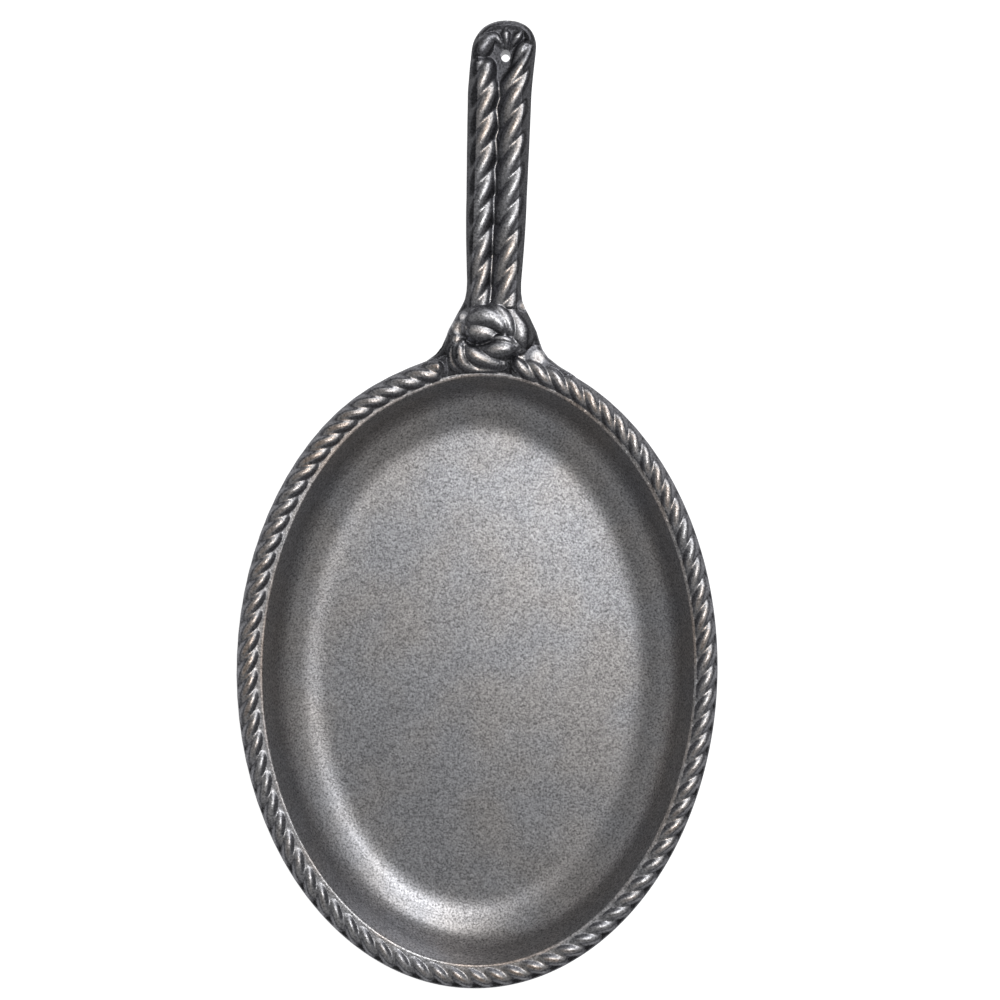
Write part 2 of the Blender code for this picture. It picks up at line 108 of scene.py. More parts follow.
# Patterns of the cast skin, from one spot to the next, in mm: grains of the moulding sand,
# patches where the sand was packed harder, and clouds of tint from the heat
GRAIN = 0.8
PATCH = 11.11
CLOUD = 33.33
GRAIN_DEPTH = 0.00009

# Relief that isn't there, and the thinnest strand in mm
DEEP = -0.01
LEAST_STRAND = 0.3

# Dish; its foot starts tighter and runs out wide
DISH_POINTS = 360
FILLET_STEPS = 18
FOOT_EASE = 1.6
FLOOR_SHRINK = 0.8
FLOOR_RINGS = 10
DISH_LAP = 0.0034
BASE_LAP = 0.0078

# Rope on the rim: strand spacing in mm, at eight places from the right side round by the knot
RIM_SPACING = (8.55, 7.95, 7.85, 7.85, 8.05, 8.20, 7.55, 7.95)
RIM_STRAND_TOTAL = 83
RIM_STRANDS = 3
RIM_CORE = 0.40
RIM_SAMPLES = 2881
ROPE_TAPER = 0.22

# Ledge and outer edge, from the outline inwards
LEDGE_FROM = 0.0060
LEDGE_OVER = 0.0035
OUTER_FALL_OVER = 0.0050
INNER_DEPTH = 0.0050
UNDER_INSETS = (0.0004, 0.0008, 0.0012)

# Where the knot covers the rim, and where the rim's rope sinks under it, across the handle
KNOT_LEFT = (-0.0190, -0.0182)
KNOT_RIGHT = (0.0074, 0.0082)
ROPE_LEFT = (-0.0215, -0.0170)
ROPE_RIGHT = (0.0045, 0.0105)
ROPE_UNDER = 0.0036
ROPE_RISE = 0.7
HANDLE_SIDE = 0.4

# The rim lies a hair lower under the knot, so that no two faces share a place
KNOT_SEAT = 0.00012
SEAT_FROM = (0.0010, 0.0015)
SEAT_LAP = 0.0010

# Ropes on the handle: spacing, place of one groove, and where each one runs out
HANDLE_STRANDS = 3
HANDLE_CORE = 0.38
HANDLE_ROPES = ((-1, 0.01153, 0.1121, 0.1115), (1, 0.01236, 0.1052, 0.1190))

# Places along the handle: where the bar starts to rise, the web gives way to the grip, the
# grip is narrowest and reaches its middle, and the end begins to lean and to flatten
WEB_TOP = 0.018
RISE_ROUND = 0.003
GRIP_FROM = (0.022, 0.030)
NECK_AT = 0.027
MIDDLE_AT = 0.060
END_SQUARENESS = 2.4
END_LEAN = 0.0024
LEAN_FROM = 0.100
LEAN_OVER = 0.0296
FLAT_FROM = (0.108, 0.116)
STEEP_FROM = (-0.0075, -0.0045)

# Where the two ropes come out from under the knot, left and right of the seam between them
ROPE_STARTS = (0.0160, 0.0176)
SEAM_AT = -0.001
START_SINK = 0.006
START_OVER = 0.0048
STOP_SINK = 0.004
STOP_OVER = 0.006

# How the handle's root goes under the ledge, and thins out beside the knot
ROOT_DIVE = 0.0026
ROOT_DIVE_AT = (0.0007, 0.0021)
DISH_DIVE_AT = (-0.0010, -0.0002)
ROOT_STEP = 0.00003
WING_FROM = (0.014, 0.026)
WING_THINNER = 0.0028

# How the rim's outline draws in to the left of the knot
RIM_DENT = 0.0013
RIM_DENT_AT = math.radians(109)
RIM_DENT_SPREAD = math.radians(13)

# Where a strand's round side turns into the straight draft of the mould
DRAFT_FROM = 0.88

# Half the width of the handle's web, by distance beyond the rim's end, in mm
WEB_ALONG = (-9.0, -5.5, -2.0, 1.0, 4.0, 8.0, 11.0, 14.0, 17.0, 20.0, 23.0, 27.0)
WEB_ACROSS = (33.4, 27.0, 22.3, 20.1, 18.9, 17.5, 15.9, 14.4, 12.8, 11.4, 10.9, 10.8)

# Strands that show in the knot: across, along, radius and lift, in mm
KNOT_STRANDS = (
    ((-10.4, 9.0, 1.4, 1.5), (-9.2, 11.0, 3.0, 1.9), (-7.0, 12.6, 4.0, 1.9), (-4.0, 13.2, 4.6, 1.9),
     (-0.6, 12.6, 4.4, 2.1), (2.0, 11.1, 3.8, 2.5), (3.8, 8.8, 2.6, 3.0), (4.8, 6.6, 1.2, 2.9)),
    ((-2.4, 17.4, 1.2, 1.3), (1.0, 16.4, 2.2, 2.4), (3.8, 14.0, 2.6, 2.8),
     (5.9, 11.0, 2.6, 2.8), (7.2, 7.6, 1.9, 2.8), (7.6, 5.4, 1.0, 2.5)),
    ((-10.4, 7.8, 1.6, 1.2), (-9.0, 7.6, 3.4, 0.9), (-5.4, 7.4, 5.0, 0.1), (-2.2, 6.6, 4.0, 0.7),
     (0.5, 5.5, 1.8, 1.8)),
    ((0.2, 4.4, 0.6, 2.9), (1.5, 4.7, 1.0, 3.1), (4.1, 4.6, 1.5, 3.0), (6.7, 3.9, 1.2, 3.1),
     (9.0, 2.9, 0.6, 2.7)),
    ((-4.4, 0.9, 0.8, 1.6), (-3.1, 0.4, 1.6, 2.0), (-0.5, 0.1, 3.0, 2.0), (3.1, 0.6, 3.9, 1.6),
     (6.5, 1.0, 3.2, 1.9), (9.3, 1.8, 1.5, 1.9)),
    ((-10.6, 1.6, 0.9, 1.3), (-9.2, -0.4, 2.4, 1.6), (-6.6, -2.4, 3.1, 1.6), (-2.6, -4.0, 2.7, 1.5),
     (1.9, -5.4, 1.9, 1.0), (4.8, -5.4, 1.2, 0.3)),
    ((-11.6, 2.8, 0.9, 1.1), (-12.7, 0.8, 2.0, 1.4), (-12.6, -1.8, 2.6, 1.2), (-11.8, -4.4, 2.8, 0.8),
     (-9.8, -6.6, 2.4, 0.5), (-5.6, -8.0, 1.3, 0.3), (0.8, -7.6, 1.2, 0.1), (4.8, -6.4, 1.0, -0.1)),
    ((-14.4, 3.4, 1.0, -0.2), (-15.6, 0.4, 2.0, -0.6), (-15.9, -3.0, 2.4, -0.9),
     (-14.6, -6.2, 2.2, -0.8), (-11.4, -8.0, 1.3, -0.3)),
    ((3.8, 18.2, 0.8, 1.0), (6.2, 15.8, 2.2, 1.3), (8.9, 12.0, 4.0, 0.6), (10.7, 8.2, 4.7, 0.3),
     (11.0, 4.4, 4.4, 0.2), (10.4, 1.2, 3.2, -0.4)),
)
# Low mounds under the knot's strands: across, along, half width, half length, height, in mm
KNOT_MOUNDS = ((-1.4, 10.0, 9.4, 8.8, 2.9), (-3.6, -3.0, 10.2, 5.4, 1.9))

# Spots beside the knot with painted highlights: across, along and radius, in mm
WEB_HIGHLIGHTS = ((-13.7, 8.7, 2.2), (-12.0, 12.8, 1.2), (-14.2, 3.9, 1.4), (18.3, -2.2, 2.4),
              (11.6, -2.6, 1.4), (11.9, 18.0, 1.3))

# Strand and ridges round the hanging hole: across, along, radius and lift over the bar, in mm
END_STRANDS = (
    ((-9.8, 112.6, 1.4, -0.3), (-8.2, 116.6, 3.3, -0.3), (-5.6, 120.2, 3.4, -0.3),
     (-2.8, 122.0, 2.1, -0.1), (-0.8, 121.0, 1.1, 0.1), (0.3, 119.2, 0.7, -0.1)),
    ((1.5, 125.2, 0.9, -0.2), (1.7, 123.6, 1.5, 0.2), (2.0, 120.8, 1.2, 0.1), (2.1, 118.4, 0.6, -0.3)),
    ((7.6, 124.4, 0.9, -0.2), (6.6, 122.8, 1.5, 0.1), (5.1, 120.7, 1.2, 0.0), (3.9, 118.6, 0.6, -0.3)),
)

# Inner edges of the two ropes, which part round the hanging hole, by place along the handle, in mm
PART_ALONG = (20.0, 95.0, 102.0, 108.4, 113.7, 118.3, 121.6, 124.0)
PART_LEFT = (-1.2, -0.4, -0.4, -1.5, -2.7, -3.0, -3.0, -3.0)
PART_RIGHT = (-1.2, -0.4, -0.4, 2.4, 4.6, 6.1, 7.6, 9.4)
END_RECESS = 0.0003
END_BORDER = 0.0028
BORDER_HEIGHT = 0.0005
BORDER_BLEND = 0.0008


def length(name, description, default):
    return bpy.props.FloatProperty(name=name, description=description, default=default,
                                   unit="LENGTH", precision=5)


def angle(name, description, degrees):
    return bpy.props.FloatProperty(name=name, description=description,
                                   default=math.radians(degrees), subtype="ANGLE")


def share(name, description, default):
    return bpy.props.FloatProperty(name=name, description=description, default=default,
                                   subtype="FACTOR")


def linear(hex_colour):
    """A written sRGB colour as the linear numbers that Blender works with."""
    parts = [int(hex_colour[i:i + 2], 16) / 255 for i in (1, 3, 5)]
    return tuple(c / 12.92 if c <= 0.04045 else ((c + 0.055) / 1.055) ** 2.4 for c in parts)


def colour(name, description, hex_colour):
    return bpy.props.FloatVectorProperty(name=name, description=description, size=3,
                                         default=linear(hex_colour), subtype="COLOR")


class PanSizes(bpy.types.PropertyGroup):
    rim_length: length("Rim length", "Outside length of the oval rim", 0.254)
    rim_width: length("Rim width", "Outside width of the oval rim", 0.1915)
    dish_depth: length("Dish depth", "From the ledge down to the cooking floor", 0.0235)
    wall_thickness: length("Wall thickness", "Thickness of wall and floor", 0.0045)
    wall_angle: angle("Wall angle", "Slope of the dish's wall", 72)
    fillet_radius: length("Floor rounding", "Radius between wall and floor", 0.017)
    ring_width: length("Ring width", "Width of rope and ledge together", 0.00985)
    ring_shift: length("Ring shift", "How much wider the ring is on the left", 0.00050)
    ring_fall: length("Ring fall", "How much wider the ring is at the handle", 0.00025)
    ledge_tilt: angle("Ledge tilt", "Slope of the ledge towards the dish", 5)
    band_depth: length("Band depth", "Height of the rim's outer band", 0.0065)
    band_undercut: length("Band undercut", "Slope under the band", 0.0023)
    edge_round: length("Edge rounding", "Rounding of the rim's edges", 0.0008)
    rope_radius: length("Rim rope radius", "Radius of the rope on the rim", 0.00445)
    rope_inset: length("Rim rope inset", "From the outline to the rope's middle", 0.0048)
    rope_shift: length("Rope shift", "How much further in the rope sits on the right", 0.0002)
    rope_sink: length("Rim rope sink", "How far the rope's middle lies under the ledge", 0.0020)
    outer_fall: length("Outer fall", "How far the rim's outer edge lies under the ledge", 0.0012)
    groove_fillet: length("Groove fillet", "Rounding between a rope's strands", 0.0011)
    rope_fillet: length("Relief fillet", "Rounding where two cast forms meet", 0.0005)
    seam_fillet: length("Seam fillet", "Rounding in the seam between the handle's ropes", 0.0021)
    relief: share("Relief", "Height of handle and knot strands, as a share of a full round", 0.74)
    rim_relief: share("Rim relief", "Height of the rim's rope, as a share of a full round", 0.84)
    handle_offset: length("Handle offset", "Handle's place to the right of the middle", 0.0039)
    handle_swing: angle("Handle swing", "Turn of the handle to the right", 0.8)
    handle_length: length("Handle length", "From the rim's end to the handle's end", 0.1291)
    handle_rise: angle("Handle rise", "Climb of the handle", 5)
    handle_thickness: length("Handle thickness", "Thickness of the plain bar", 0.009)
    handle_edge: length("Handle edge", "Rounding of the bar's edges", 0.0025)
    end_width: length("End width", "Width near the handle's end", 0.0252)
    middle_width: length("Middle width", "Width at the middle of the grip", 0.0239)
    neck_width: length("Neck width", "Width at the neck", 0.0215)
    web_edge: length("Web edge", "Rounding of the web's edges beside the knot", 0.0042)
    side_band: length("Side band", "Plain strip beside the ropes", 0.0005)
    hole_width: length("Hole width", "Hanging hole across the handle", 0.0038)
    hole_length: length("Hole length", "Hanging hole along the handle", 0.0047)
    hole_from_end: length("Hole place", "From the handle's end to the hole", 0.0138)
    hole_shift: length("Hole shift", "Hole's place to the right of the middle", 0.0019)


class PanFinish(bpy.types.PropertyGroup):
    # Pale metal for painted highlights on faces that look up, standing partly for rubbed crests
    rubbed_highlight: colour("Rubbed iron", "Crests of the relief, rubbed bright", "#B2B1B2")
    warm: colour("Warm iron", "Rubbed crests with a brown tint from heat and hands", "#B6A89E")
    plain: colour("Plain iron", "Cooking face and half-rubbed places", "#A4A1A0")
    cool: colour("Cool iron", "Cooking face where it is a little blue", "#A0A0A3")
    # Colour of painted shade on steep faces and in low places
    scale: colour("Dark iron", "Steep faces and low places with their dark skin", "#68686C")
    # Colour of the darkest painted shade, in low places round the ropes and the knot
    deep_shade: colour("Iron in painted shade", "Lowest places round the ropes and the knot", "#1D1D1F")
    roughness: share("Roughness", "Roughness of the cooking face", 0.38)
    rubbed_roughness: share("Rubbed roughness", "Roughness of the rubbed crests", 0.36)


class PanStudio(bpy.types.PropertyGroup):
    floor: colour("Floor", "Plain pale floor", "#FAFAFA")
    key_level: share("Overhead level", "Brightness of the overhead softbox", 1.0)


def smooth_max(first, second, fillet):
    """The higher of two surfaces, with a fillet where they meet."""
    near = np.clip(fillet - np.abs(first - second), 0, None)
    return np.maximum(first, second) + near ** 2 / (4 * fillet)


def ease(value, low, high):
    """0 below low, 1 above high, and a smooth step between them."""
    part = np.clip((value - low) / (high - low), 0, 1)
    return part * part * (3 - 2 * part)


def half_round(place):
    """Height of a half-round bar of radius 1, with a straight draft at its sides."""
    place = np.abs(place)
    top = np.sqrt(1 - np.minimum(place, DRAFT_FROM) ** 2)
    slope = DRAFT_FROM / math.sqrt(1 - DRAFT_FROM ** 2)
    return top - slope * np.clip(place - DRAFT_FROM, 0, None)


def laid_rope(count, across, radius, strands, core_share, fillet):
    """Height of a laid rope over its middle line; count is how many strands lie before."""
    core = core_share * radius
    thick = radius - core
    height = None
    for strand in range(strands):
        turn = 2 * math.pi * (count - strand) / strands
        place = (across - core * np.sin(turn)) / thick
        crest = core * np.cos(turn) + thick * half_round(place)
        height = crest if height is None else smooth_max(height, crest, fillet)
    return height


def strands_height(size, strands, across, along):
    """Height of strands laid out one by one, over the face that carries them."""
    points = np.stack([across.ravel(), along.ravel()], 1) / MM
    height = np.full(len(points), DEEP)
    for strand in strands:
        line = smooth_line(strand)
        distance, nearest = distance_to(points, line[:, :2])
        radius = np.maximum(line[nearest, 2], LEAST_STRAND)
        crest = line[nearest, 3] + size.relief * radius * half_round(distance / radius)
        height = smooth_max(height, crest * MM, size.rope_fillet)
    return height.reshape(across.shape)


def smooth_line(points, steps=14):
    """A smooth curve through a few points; every column is carried along."""
    points = np.array(points, float)
    padded = np.vstack([2 * points[0] - points[1], points, 2 * points[-1] - points[-2]])
    t = np.linspace(0, 1, steps, endpoint=False)[:, None]
    line = []
    for p0, p1, p2, p3 in zip(padded, padded[1:], padded[2:], padded[3:]):
        place = 2 * p1 + (p2 - p0) * t + (2 * p0 - 5 * p1 + 4 * p2 - p3) * t ** 2
        line.append((place + (3 * p1 - p0 - 3 * p2 + p3) * t ** 3) / 2)
    line.append(points[-1:])
    return np.vstack(line)


def ledge_height(size):
    return size.dish_depth + size.wall_thickness


def rim_frame(size, turn):
    """Point of the rim's outline and its inward direction."""
    half_width = size.rim_width / 2
    half_length = size.rim_length / 2
    x = half_width * np.cos(turn)
    y = half_length * np.sin(turn)
    nx = np.cos(turn) / half_width
    ny = np.sin(turn) / half_length
    scale = 1 / np.hypot(nx, ny)
    return x, y, -nx * scale, -ny * scale


def rim_place(size, turn, inset):
    """Point inside the outline, which draws in a little to the left of the knot."""
    x, y, nx, ny = rim_frame(size, turn)
    away = (turn - RIM_DENT_AT + math.pi) % (2 * math.pi) - math.pi
    inset = inset + RIM_DENT * np.exp(-(away / RIM_DENT_SPREAD) ** 2)
    return x + inset * nx, y + inset * ny


def ring_width(size, turn):
    """Width of rope and ledge together; the real one is wider on the left."""
    return size.ring_width - size.ring_shift * np.cos(turn) + size.ring_fall * np.sin(turn)


def ledge_drop(size, inset):
    """How far the ledge has sunk towards the dish at a distance from the outline."""
    return math.tan(size.ledge_tilt) * np.clip(inset - LEDGE_FROM, 0, LEDGE_OVER)


def rope_inset(size, turn):
    """From the outline to the rope's middle; the rope sits nearer the edge on the left."""
    return size.rope_inset + size.rope_shift * np.cos(turn)


def rim_counts(size):
    """How many strands lie between the knot and each place of the rim."""
    turns = np.linspace(math.pi / 2, math.pi * 5 / 2, RIM_SAMPLES)
    x, y = rim_place(size, turns, rope_inset(size, turns))
    stretch = np.hypot(np.diff(x), np.diff(y))
    places = (turns[1:] + turns[:-1]) / 2
    spacing = np.zeros(len(places))
    waves = np.fft.rfft(RIM_SPACING) / len(RIM_SPACING)
    for order, wave in enumerate(waves):
        weight = 1 if order in (0, len(RIM_SPACING) // 2) else 2
        spacing += weight * (wave * np.exp(1j * order * places)).real
    counts = np.concatenate([[0], np.cumsum(stretch / spacing)])
    return turns, counts * RIM_STRAND_TOTAL / counts[-1]


def handle_place(size, across, along):
    swing = size.handle_swing
    x = size.handle_offset + across * np.cos(swing) + along * np.sin(swing)
    y = size.rim_length / 2 - across * np.sin(swing) + along * np.cos(swing)
    return x, y


def handle_frame(size, x, y):
    """Across and along in the handle's own frame."""
    swing = size.handle_swing
    x = x - size.handle_offset
    y = y - size.rim_length / 2
    return x * np.cos(swing) - y * np.sin(swing), x * np.sin(swing) + y * np.cos(swing)


def bar_top(size, along):
    """Height of the bar's plain top: level under the knot, then rising."""
    reach = along - WEB_TOP
    rise = (reach + np.sqrt(reach ** 2 + RISE_ROUND ** 2)) / 2
    return ledge_height(size) + rise * np.tan(size.handle_rise)


def grip_half_width(size, along):
    end_at = size.handle_length - size.end_width / 2
    near = np.clip((along - NECK_AT) / (MIDDLE_AT - NECK_AT), 0, 1)
    far = np.clip((along - MIDDLE_AT) / (end_at - MIDDLE_AT), 0, 1)
    width = size.neck_width + (size.middle_width - size.neck_width) * np.sin(near * np.pi / 2)
    return (width + (size.end_width - size.middle_width) * np.sin(far * np.pi / 2)) / 2


def web_half_width(along):
    return np.interp(along / MM, WEB_ALONG, WEB_ACROSS) * MM


def bar_half_width(size, along):
    """Half the bar's width, from the web's toes to the round end."""
    end_at = size.handle_length - size.end_width / 2
    part = np.clip((along - end_at) / (size.end_width / 2), 0, 1)
    round_end = (1 - part ** END_SQUARENESS) ** (1 / END_SQUARENESS)
    blend = ease(along, *GRIP_FROM)
    web = web_half_width(along) * (1 - blend)
    return (web + grip_half_width(size, along) * blend) * round_end


def distance_to(points, line):
    """Distance from each point to a dense line, and the nearest place on it."""
    nearest = np.zeros(len(points), int)
    distance = np.zeros(len(points))
    for start in range(0, len(points), CHUNK):
        part = points[start:start + CHUNK]
        square = ((part[:, None, :] - line[None, :, :]) ** 2).sum(2)
        index = square.argmin(1)
        nearest[start:start + CHUNK] = index
        distance[start:start + CHUNK] = np.sqrt(square[np.arange(len(part)), index])
    return distance, nearest


def knot_height(size, across, along):
    """Height of the knot; far away it is deep under the ledge."""
    height = strands_height(size, KNOT_STRANDS, across, along)
    for middle, place, wide, long, high in KNOT_MOUNDS:
        reach = np.hypot((across / MM - middle) / wide, (along / MM - place) / long)
        mound = high * MM * half_round(reach)
        height = smooth_max(height, mound, size.rope_fillet)
    return ledge_height(size) + height


def end_shift(along):
    """The handle's end leans to the right."""
    return END_LEAN * np.clip((along - LEAN_FROM) / LEAN_OVER, 0, 1) ** 1.4


def rope_edges(size, side, along):
    """Inner and outer edge of a rope: from the seam to the plain strip at its side."""
    inner = np.interp(along / MM, PART_ALONG, PART_RIGHT if side > 0 else PART_LEFT) * MM
    return inner, side * (grip_half_width(size, along) - size.side_band) + end_shift(along)


def rope_height(size, across, along):
    """Height of the handle's two ropes over the bar, and of the strands at its end."""
    height = np.full(across.shape, DEEP)
    for side, pitch, groove, stop in HANDLE_ROPES:
        inner, outer = rope_edges(size, side, along)
        radius = np.maximum(np.abs(outer - inner) / 2, 0.001)
        count = (along - groove) / pitch + 0.5
        place = across - (outer + inner) / 2
        rope = laid_rope(count, place, radius, HANDLE_STRANDS, HANDLE_CORE, size.groove_fillet)
        rope = size.relief * rope - STOP_SINK * ease(along, stop, stop + STOP_OVER)
        height = smooth_max(height, rope, size.seam_fillet)
    ends = strands_height(size, END_STRANDS, across, along)
    return smooth_max(height, ends, size.rope_fillet)


def hole_place(size):
    return size.hole_shift, size.handle_length - size.hole_from_end


def handle_height(size, across, along, edge):
    """Top of the handle; edge is the distance to its outline."""
    bar = bar_top(size, along)
    steep = ease(-along, *STEEP_FROM) * (across < 0)
    drop = size.handle_edge + (size.web_edge - size.handle_edge) * steep
    inner = np.clip(drop - edge, 0, drop)
    end = ease(along, *FLAT_FROM)
    field = ease(edge, END_BORDER - BORDER_BLEND, END_BORDER + BORDER_BLEND)
    bar = bar + end * (BORDER_HEIGHT - (BORDER_HEIGHT + END_RECESS) * field)
    bar = bar - (drop - np.sqrt(np.clip(drop ** 2 - inner ** 2, 0, None)))
    ropes = bar_top(size, along) + rope_height(size, across, along)
    start = np.where(across < SEAM_AT, *ROPE_STARTS)
    ropes = ropes - START_SINK * ease(start - along, 0.0, START_OVER)
    top = smooth_max(bar, ropes, size.rope_fillet)
    return smooth_max(top, knot_height(size, across, along), size.rope_fillet)


def knot_zone(place, lap=0.0):
    """1 where the knot lies across the rim, by the place across the handle."""
    return ease(place - lap, *KNOT_LEFT) * (1 - ease(place + lap, *KNOT_RIGHT))


def rim_rope_height(size, count, across, x, y):
    """Height of the rim's rope; it sinks where the knot takes its place."""
    place, _ = handle_frame(size, x, y)
    near = y > size.rim_length * HANDLE_SIDE
    under = ease(place, *ROPE_LEFT) * (1 - ease(place, *ROPE_RIGHT)) * near
    sink = size.rope_sink * (1 - ROPE_RISE * y / size.rim_length)
    rope = laid_rope(count, -across, size.rope_radius, RIM_STRANDS, RIM_CORE, size.groove_fillet)
    return ledge_height(size) - sink + size.rim_relief * rope - ROPE_UNDER * under


def deselect():
    if bpy.context.object and bpy.context.object.mode != "OBJECT":
        bpy.ops.object.mode_set(mode="OBJECT")
    bpy.ops.object.select_all(action="DESELECT")


def named(name):
    piece = bpy.context.object
    piece.name = name
    piece.data.name = name
    return piece


def write_points(piece, points):
    piece.data.vertices.foreach_set("co", np.ascontiguousarray(points, np.float32).ravel())
    piece.data.update()


def read_points(piece):
    points = np.zeros(len(piece.data.vertices) * 3, np.float32)
    piece.data.vertices.foreach_get("co", points)
    return points.reshape(-1, 3).astype(float)


def sheet_of_points(name, points):
    """A grid whose rows and columns are pressed into the relief, point by point."""
    deselect()
    rows, columns = points.shape[:2]
    bpy.ops.mesh.primitive_grid_add(x_subdivisions=columns - 1, y_subdivisions=rows - 1)
    piece = named(name)
    write_points(piece, points)
    return piece


def turn_outwards():
    """Closes the seams and open ends and turns all faces outwards, in edit mode."""
    bpy.ops.object.mode_set(mode="EDIT")
    bpy.ops.mesh.select_all(action="SELECT")
    bpy.ops.mesh.remove_doubles(threshold=0.000005)
    bpy.ops.mesh.select_all(action="DESELECT")
    bpy.ops.mesh.select_mode(type="EDGE")
    bpy.ops.mesh.select_non_manifold(extend=False, use_wire=False, use_boundary=True,
                                     use_multi_face=False, use_non_contiguous=False,
                                     use_verts=False)
    bpy.ops.mesh.edge_face_add()
    bpy.ops.mesh.select_mode(type="VERT")
    bpy.ops.mesh.select_all(action="SELECT")
    bpy.ops.mesh.normals_make_consistent(inside=False)
    bpy.ops.object.mode_set(mode="OBJECT")


def inside_ring(size, x, y, margin):
    """Whether a place lies further in than the ring of rope and ledge, less a margin."""
    turn = np.arctan2(y / size.rim_length, x / size.rim_width)
    return np.hypot(x, y) < np.hypot(*rim_place(size, turn, ring_width(size, turn) - margin))


def paint_light_round_knot(size, piece, place, facing, values):
    """Painted shade in low places round the knot and the ropes, painted highlights on spots beside the
    knot, a slightly dimmed knot top and painted shade on the bend at the handle's end; facing is 1 where a
    face looks up.
    """
    x, y, z = place
    across, along = handle_frame(size, x, y)
    away = np.abs(across)
    knot_side = (along > KNOT_AREA_FROM) & (away < KNOT_AREA_HALF) & (y > 0)
    knot_side = knot_side & ~inside_ring(size, x, y, 0.0016)
    low = ((along > LOW_FROM) | (away > LOW_BESIDE) | (along < LOW_TO)) & knot_side
    low = low & (z < bar_top(size, along) + LOW_MARGIN) & (facing > 0.55)
    end = ease(along, 0.095, 0.105)
    # Flat low places get painted shade, a little lighter towards the handle's end
    values = np.where(low & (facing > 0.9), LOW_SHADE_TONE + 0.04 * end, values)
    if piece.name == "handle":
        side = 0.0136 - 0.0048 * ease(along, 0.008, 0.016)
        beside = (away > side) & (along > KNOT_TOP_FROM) & knot_side
        beside = beside & (facing > 0.35) & (facing < 0.95)
        # Sloping faces beside the knot get painted shade
        values = np.where(beside, np.minimum(values, BESIDE_SHADE_TONE), values)
        low = low | beside
    # Painted highlights on spots beside the knot
    for middle, along_middle, reach in WEB_HIGHLIGHTS:
        apart = np.hypot(across / MM - middle, along / MM - along_middle) / reach
        values = np.where(low, np.maximum(values, 1 - 0.035 * apart ** 4), values)
    knot_top = (along > KNOT_TOP_FROM) & (along < KNOT_TOP_TO) & (away < KNOT_TOP_HALF) & knot_side
    # The knot's top is painted a little darker, to narrow its painted highlights
    values = values - 0.008 * (knot_top & ~low)
    # Painted shade on the bend at the handle's end, outside its middle
    bend = ease(along, 0.106, 0.116) * (np.abs(across - BEND_MIDDLE) > BEND_HALF)
    return values - 0.07 * bend * ~low, low


def paint_rim_light(size, place, facing, values, low):
    """Painted shade on the flanks and on the outer edge below the ledge, painted highlights on the crests,
    an even ledge and a painted highlight along the lip.
    """
    x, y, z = place
    level = ledge_height(size)
    inside = inside_ring(size, x, y, 0.0004)
    proud_by = (z - level) / MM
    # Faces below the ledge get painted shade, faces above it a painted highlight
    shade = np.where(proud_by < 0, 0.11 * proud_by, 0.025 * np.minimum(proud_by, 2))
    values = np.where(low | inside, values, np.maximum(values + shade, RIM_LEAST_TONE))
    # Painted shade on the outer strip
    outer = (proud_by < -0.5) & (facing > 0.85) & ~low & ~inside
    values = np.where(outer, RIM_SHADE_TONE, values)
    flat = (facing > 0.985) & (np.abs(z - level) < 0.0004) & ~low
    values = np.where(flat, DISH_TONE + 0.003, values)
    # Painted highlight along the lip
    lip = inside_ring(size, x, y, 0.0008) & (z > level - 0.0006)
    return np.where(lip, LIP_HIGHLIGHT_TONE, values)


def paint_wear_and_light(size, piece):
    """Stores a tone for each place: the cooking face evenly, the rest painted lighter where it faces up
    and darker where it is steep, as painted highlight and shade that stand partly for rubbed crests.
    """
    mesh = piece.data
    normals = np.zeros(len(mesh.vertices) * 3, np.float32)
    mesh.vertex_normals.foreach_get("vector", normals)
    facing = normals.reshape(-1, 3)[:, 2]
    place = read_points(piece).T
    x, y, z = place
    cooking_face = (facing > 0.05) | (z > ledge_height(size) - 0.0045)
    cooking_face = cooking_face & inside_ring(size, x, y, 0.0004)
    # Outside the cooking face, faces that look up get painted highlights and steep faces get painted shade
    values = np.where(cooking_face, DISH_TONE, np.clip(facing, STEEP_SHADE_TONE, 1))
    values, low = paint_light_round_knot(size, piece, place, facing, values)
    if piece.name == "rim":
        values = paint_rim_light(size, place, facing, values, low)
    wear_and_painted_light = mesh.attributes.new("wear_and_painted_light", "FLOAT", "POINT")
    wear_and_painted_light.data.foreach_set("value", values.astype(np.float32))


def finish_piece(size, piece, sharp):
    bpy.ops.object.shade_smooth_by_angle(angle=sharp)
    paint_wear_and_light(size, piece)
    piece.data.materials.clear()
    piece.data.materials.append(bpy.data.materials["sand_cast_iron"])
    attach(piece, "root")


def add_node(tree, kind, links=(), **settings):
    """Adds a node, sets what is named, and links inputs given as (socket, output)."""
    node = tree.nodes.new(kind)
    for name, value in settings.items():
        setattr(node, name, value)
    for socket, source in links:
        if isinstance(source, (int, float, tuple)):
            node.inputs[socket].default_value = source
        else:
            tree.links.new(source, node.inputs[socket])
    return node


